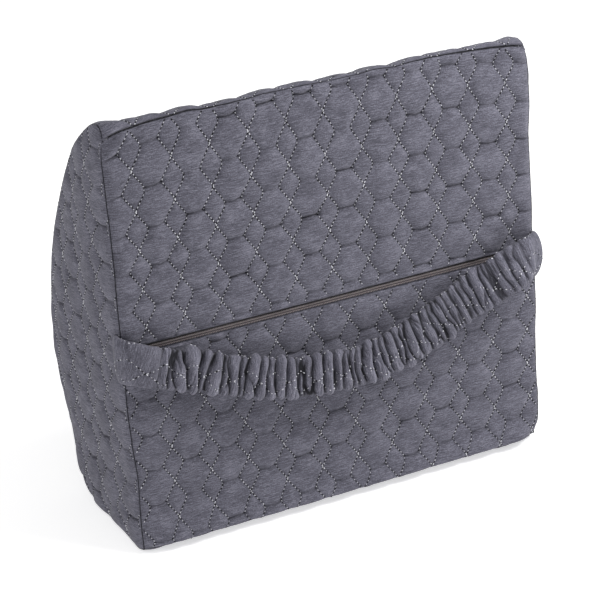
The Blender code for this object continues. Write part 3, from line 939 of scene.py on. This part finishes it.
def sleeve_stitches(name, rings, cloth, normal, lowest, highest):
    """Quilting stitches of the sleeve's cloth, drawn up with its gathers."""
    girth, unrolled = cloth[0, :, 0], cloth[:, 0, 1]
    total = full_girth(cloth)
    floats, pit_shade_beads = [], []
    for middle in np.array(SLEEVE_CHAINS) * total:
        for side in (-1.0, 1.0):
            v = np.arange(lowest + 2.0, highest - 2.0, STITCH)
            v = v + rng.normal(0.0, 0.2, len(v))
            u = (middle + stitch_line(v / SLEEVE_PERIOD, side)) % total
            row = np.interp(v, unrolled, np.arange(len(unrolled)))
            column = np.interp(u, np.append(girth, total), np.arange(len(girth) + 1))
            i, j = row.astype(int), column.astype(int) % len(girth)
            share = (column - np.floor(column))[:, None]
            spots = rings[i, j] * (1 - share) + rings[i, (j + 1) % len(girth)] * share
            out = normal[i, j]
            ahead = np.gradient(spots, axis=0)
            size = rng.uniform(0.6, 1.15, len(spots))
            floats.append((spots, ahead, out, size))
            # Dark beads of painted shade in the needle pits between stitches.
            pit_shade_beads.append(((spots[1:] + spots[:-1]) / 2, ahead[1:], out[1:], size[1:]))
    return bead_objects(name, floats, pit_shade_beads)


def elastic_band(name, first_share, last_share):
    """Half of the elastic inside the sleeve."""
    route, down, out, travel, length = strap_frame(3.0)
    keep = (travel >= first_share * length) & (travel <= last_share * length)
    route, down, out = route[keep], down[keep], out[keep]
    across = np.linspace(-1.0, 1.0, 9)
    rib = 1.0 - 0.18 * np.cos(across * 6 * pi)
    section = [*zip(across, -rib), *zip(across[::-1], rib[::-1])]
    rings = [route + down * ELASTIC_HALF_WIDTH * w + out * ELASTIC_HALF_THICKNESS * t for w, t in section]
    rings = np.stack(rings, 1)
    return new_mesh(name, rings.reshape(-1, 3), tube_faces(*rings.shape[:2]))


# ---------------------------------------------------------------- materials


class Look:
    """A material in the making: its shader, and short ways to build what feeds it."""

    def __init__(self, name, roughness, specular=0.3, metallic=0.0):
        self.material = bpy.data.materials.new(name)
        self.material.use_nodes = True
        self.tree = self.material.node_tree
        self.shader = self.tree.nodes["Principled BSDF"]
        self.shade("Roughness", roughness)
        self.shade("Specular IOR Level", specular)
        self.shade("Metallic", metallic)

    def feed(self, socket, value):
        """Sets a socket, or links the output that feeds it."""
        if isinstance(value, bpy.types.NodeSocket):
            self.tree.links.new(value, socket)
        else:
            socket.default_value = value

    def shade(self, name, value):
        self.feed(self.shader.inputs[name], value)

    def node(self, kind, **values):
        """A new node; each value goes to the input of that name, or else to the property."""
        node = self.tree.nodes.new(kind)
        for key, value in values.items():
            if key in node.inputs:
                self.feed(node.inputs[key], value)
            else:
                setattr(node, key, value)
        return node

    def object_vector(self):
        return self.node("ShaderNodeTexCoord").outputs["Object"]

    def scaled(self, vector, scale):
        return self.node("ShaderNodeMapping", Vector=vector, Scale=scale).outputs["Vector"]

    def noise(self, vector, scale, detail):
        vector = self.scaled(vector, scale)
        node = self.node("ShaderNodeTexNoise", Vector=vector, Scale=1.0, Detail=detail, Roughness=0.6)
        return node.outputs["Fac"]

    def math(self, operation, a, b):
        node = self.node("ShaderNodeMath", operation=operation)
        self.feed(node.inputs[0], a)
        self.feed(node.inputs[1], b)
        return node.outputs["Value"]

    def ramp(self, factor, stops):
        node = self.node("ShaderNodeValToRGB", Fac=factor)
        while len(node.color_ramp.elements) < len(stops):
            node.color_ramp.elements.new(0.5)
        for element, (position, color) in zip(node.color_ramp.elements, stops):
            element.position = position
            element.color = (*color, 1.0)
        return node.outputs["Color"]

    def bump(self, height, strength, distance):
        node = self.node("ShaderNodeBump", Height=height, Strength=strength, Distance=distance)
        self.shade("Normal", node.outputs["Normal"])


# The marl's grains: their scale along and across the courses, and their weight in the colour.
HEATHER_GRAINS = {
    "streaks": ((0.11, 1.15, 0.0), 0.28),
    "slubs": ((0.34, 1.7, 0.0), 0.27),
    "specks": ((1.2, 1.2, 0.0), 0.29),
    "clouds": ((0.045, 0.08, 0.0), 0.16),
}
HEATHER_COLORS = (
    (0.39, (0.046, 0.045, 0.058)),
    (0.50, (0.102, 0.100, 0.127)),
    (0.61, (0.200, 0.197, 0.242)),
)


def heather_knit(name):
    """Grey-blue marl jersey: streaks along the courses, specks of the two yarns, and knit loops, darkened by
    painted shade in creases and seams and lightened by painted highlight on the strap's lobes.
    """
    look = Look(name, 0.95, 0.12)
    look.shade("Sheen Weight", 0.10)
    look.shade("Sheen Roughness", 0.5)
    vector = look.node("ShaderNodeAttribute", attribute_name="cloth").outputs["Vector"]
    grains = {grain: look.noise(vector, scale, 2.0) for grain, (scale, _) in HEATHER_GRAINS.items()}
    mixed = 0.0
    for grain, (_, weight) in HEATHER_GRAINS.items():
        mixed = look.math("ADD", mixed, look.math("MULTIPLY", grains[grain], weight))
    # The attribute's third part is painted shade, and below 0 painted highlight, which scales the colour.
    painted_shade_and_highlight = look.node("ShaderNodeSeparateXYZ", Vector=vector).outputs["Z"]
    shade = look.math("SUBTRACT", 1.0, look.math("MULTIPLY", painted_shade_and_highlight, 0.86))
    color = look.ramp(mixed, HEATHER_COLORS)
    darker = look.node("ShaderNodeVectorMath", operation="SCALE", Vector=color, Scale=shade)
    look.shade("Base Color", darker.outputs["Vector"])
    loops = look.node("ShaderNodeTexVoronoi", Scale=1.0, Vector=look.scaled(vector, (1.15, 1.5, 0.0)))
    height = look.math("ADD", look.math("MULTIPLY", grains["specks"], 0.8), loops.outputs["Distance"])
    look.bump(height, 0.35, 0.00016)
    return look.material


def speckled(name, dark, light, roughness, scale, depth=0.0002, metallic=0.0):
    """A plain stuff with fine grain in its colour and surface."""
    look = Look(name, roughness, metallic=metallic)
    grain = look.noise(look.object_vector(), (scale,) * 3, 4.0)
    look.shade("Base Color", look.ramp(grain, ((0.3, dark), (0.7, light))))
    look.bump(grain, 0.5, depth)
    return look.material


def woven(name, dark, light, rib):
    """Narrow woven webbing: ribs across its length, with a little grain."""
    look = Look(name, 0.8, 0.25)
    wave = look.node("ShaderNodeTexWave", bands_direction="X", Scale=rib, Distortion=1.5)
    look.feed(wave.inputs["Vector"], look.object_vector())
    look.feed(wave.inputs["Detail Scale"], 3.0)
    ribs = wave.outputs["Fac"]
    look.shade("Base Color", look.ramp(ribs, ((0.2, dark), (0.8, light))))
    look.bump(ribs, 0.6, 0.0002)
    return look.material


def give(obj, material):
    obj.data.materials.clear()
    obj.data.materials.append(material)


# ---------------------------------------------------------------- zipper


COIL_PITCH = 1.27
COIL_WIRE = 0.27
COIL_END_GAP = 1.5
COIL_OFFSET = 0.98
COIL_HALF_WIDTH = 0.52
COIL_DEPTH = 0.15
COIL_HALF_DEPTH = 0.42
COIL_STEPS = 10


def coil_strand(name, side):
    """One strand of nylon coil: flattened turns that lock with the other strand's."""
    turns = int(2 * (HALF_WIDTH - COIL_END_GAP) / COIL_PITCH)
    t = np.arange(turns * COIL_STEPS + 1) / COIL_STEPS
    angle = 2 * pi * t
    x = -HALF_WIDTH + COIL_END_GAP + (t + (0.5 if side > 0 else 0.0)) * COIL_PITCH
    across = ZIP_Z + side * (COIL_OFFSET + COIL_HALF_WIDTH * np.cos(angle))
    depth = COIL_DEPTH + COIL_HALF_DEPTH * np.sin(angle)
    line = np.stack((x, depth, across), -1)
    rings = cord_rings(line, COIL_WIRE, RIGHT)
    return new_mesh(name, rings.reshape(-1, 3), tube_faces(len(line), CORD_SIDES))


# ---------------------------------------------------------------- stage


def aim(obj, azimuth, elevation, distance, target):
    """Stands an object off from its target, in degrees and metres, and turns it to face it."""
    a, e = radians(azimuth), radians(elevation)
    back = Vector((sin(a) * cos(e), -cos(a) * cos(e), sin(e)))
    obj.location = Vector(target) + back * distance
    obj.rotation_mode = "QUATERNION"
    obj.rotation_quaternion = (-back).to_track_quat("-Z", "Y")


def add_area_light(name, azimuth, elevation, distance, size, power):
    light = bpy.data.lights.new(name, "AREA")
    light.shape = "DISK"
    light.size = size
    light.energy = power
    aim(add_object(name, light), azimuth, elevation, distance, (0.0, 0.0, 0.15))


def add_camera():
    """The viewing angle: from the left front, a little above, through a long lens."""
    camera = bpy.data.cameras.new("camera")
    camera.sensor_width = 36.0
    camera.lens = 153.4
    obj = add_object("camera", camera)
    aim(obj, -27.87, 29.21, 1.8512, place((-28.1, 0.0, 159.9)))
    bpy.context.scene.camera = obj


def add_stage():
    """A pale floor that gives a little light of its own, white surroundings, and two soft lamps."""
    look = Look("studio_floor", 0.9, 0.1)
    grain = look.noise(look.object_vector(), (2.0,) * 3, 3.0)
    look.shade("Base Color", look.ramp(grain, ((0.0, (0.90,) * 3), (1.0, (0.93,) * 3))))
    look.shade("Emission Color", (1.0, 1.0, 1.0, 1.0))
    look.shade("Emission Strength", 0.53)
    mesh = bpy.data.meshes.new("studio_floor")
    mesh.from_pydata([(-6, -6, 0), (6, -6, 0), (6, 6, 0), (-6, 6, 0)], [], [(0, 1, 2, 3)])
    floor = add_object("studio_floor", mesh)
    give(floor, look.material)
    world = bpy.data.worlds.new("studio")
    world.use_nodes = True
    world.node_tree.nodes["Background"].inputs["Color"].default_value = (1.0, 1.0, 1.0, 1.0)
    world.node_tree.nodes["Background"].inputs["Strength"].default_value = 0.44
    bpy.context.scene.world = world
    add_area_light("key", 60.0, 48.0, 0.95, 0.55, 9.5)
    add_area_light("fill", -85.0, 28.0, 1.6, 1.0, 5.5)
    bpy.context.scene.view_settings.view_transform = "Standard"


# ---------------------------------------------------------------- building it all


def build_cover(knit, thread, gap_shade_paint):
    for name, (points, cloth) in coarse_panels().items():
        surface, fine_cloth, normal, painted_crease_shade, seams = panel_surface(name, points, cloth)
        panel = slab_object(name, surface, fine_cloth, normal, painted_crease_shade)
        if seams:
            # Dark cords of painted shade in the slits of the seams.
            cords = seam_cords(f"{name}_seam_thread", seams)
            give(cords, gap_shade_paint)
            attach(cords, "cushion")
        give(panel, knit)
        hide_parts(f"{name}_knit", f"{name}_wadding", f"{name}_backing")
        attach(panel, "cushion")
        lines = chain_lines(name, fine_cloth.min((0, 1)), fine_cloth.max((0, 1)))
        if name.startswith("end_panel"):
            sample, inside = end_sampler(surface, OUTWARD[name][0])
        else:
            sample, inside = grid_sampler(surface, fine_cloth, normal)
        threads, pit_shade_beads = stitch_objects(name, lines, sample, inside)
        give(threads, thread)
        give(pit_shade_beads, gap_shade_paint)
        for piece in (threads, pit_shade_beads):
            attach(piece, "cushion")


def foam_block():
    """The foam core: the cover's own shape, a cloth's thickness smaller."""
    base, front, crest = side_outline()
    back = np.stack((np.zeros(30), np.linspace(PANEL_HEIGHT, -BASE_SEAM, 30)), -1)
    outline = join(resample(base, 12), resample(front, 40), resample(crest, 10)[::-1], back)[:-1]
    x = np.linspace(-HALF_WIDTH, HALF_WIDTH, COLUMNS)[:, None]
    points = pull_corners(bow_crest(np.stack(np.broadcast_arrays(x, *outline.T), -1)))
    ahead = np.roll(points, -1, 1) - np.roll(points, 1, 1)
    points = points + unit(np.cross(RIGHT, ahead)) * FOAM_INSET
    points[..., 0] *= 1.0 - FOAM_INSET / HALF_WIDTH
    points[..., 1] = np.maximum(points[..., 1], FOAM_INSET)
    points[..., 2] = np.minimum(points[..., 2], PANEL_HEIGHT - FOAM_TOP_CLEARANCE)
    return new_mesh("foam_block", points.reshape(-1, 3), tube_faces(*points.shape[:2]))


def build_foam(foam):
    block = foam_block()
    give(block, foam)
    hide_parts("foam_core")
    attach(block, "cushion")


def build_strap(knit, thread, gap_shade_paint, webbing):
    rings, cloth, normal = strap_surface()
    middle = len(rings) // 2
    spans = {"left": (0, middle), "right": (middle, len(rings) - 1)}
    for word, (first, last) in spans.items():
        part = slice(first, last + 1)
        lowest, highest = cloth[first, 0, 1], cloth[last, 0, 1]
        half = sleeve_half(f"strap_sleeve_{word}", rings[part], cloth[part], normal[part])
        give(half, knit)
        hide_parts(f"strap_sleeve_end_{word}", "strap_sleeve")
        band = elastic_band(f"strap_elastic_{word}", first / len(rings), last / (len(rings) - 1))
        give(band, webbing)
        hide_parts(f"strap_elastic_end_{word}", "strap_elastic")
        threads, pit_shade_beads = sleeve_stitches(f"strap_{word}", rings, cloth, normal, lowest, highest)
        give(threads, thread)
        give(pit_shade_beads, gap_shade_paint)
        for piece in (half, band, threads, pit_shade_beads):
            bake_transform(piece)


def build_zipper(nylon):
    for word, side in (("upper", 1.0), ("lower", -1.0)):
        coil = coil_strand(f"coil_{word}", side)
        give(coil, nylon)
        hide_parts(f"zipper_coil_{word}")
        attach(coil, "cushion")


def main():
    knit = heather_knit("heather_knit")
    thread = speckled("quilting_thread", (0.30, 0.30, 0.33), (0.75, 0.75, 0.8), 0.6, 900.0)
    # Near-black paint for the shade in needle holes and seam slits: painted shade.
    gap_shade_paint = speckled("painted_gap_shade", (0.006, 0.006, 0.008), (0.016, 0.016, 0.02), 1.0, 900.0)
    nylon = speckled("taupe_nylon", (0.205, 0.175, 0.180), (0.30, 0.26, 0.265), 0.5, 700.0)
    tape = woven("taupe_tape", (0.035, 0.032, 0.034), (0.065, 0.06, 0.062), 400.0)
    webbing = woven("white_elastic", (0.60, 0.60, 0.58), (0.80, 0.80, 0.78), 500.0)
    foam = speckled("memory_foam", (0.70, 0.63, 0.45), (0.82, 0.76, 0.60), 0.95, 300.0, 0.0006)
    lacquer = speckled("slider_lacquer", (0.10, 0.085, 0.08), (0.14, 0.12, 0.11), 0.35, 500.0, 0.00005, 0.6)
    for word in ("upper", "lower"):
        give(frame["nodes"][f"zipper_tape_{word}"], tape)
    for node in ("zipper_slider", "zipper_pull_tab"):
        give(frame["nodes"][node], lacquer)
    add_camera()
    add_stage()
    build_foam(foam)
    build_cover(knit, thread, gap_shade_paint)
    build_strap(knit, thread, gap_shade_paint, webbing)
    build_zipper(nylon)


main()
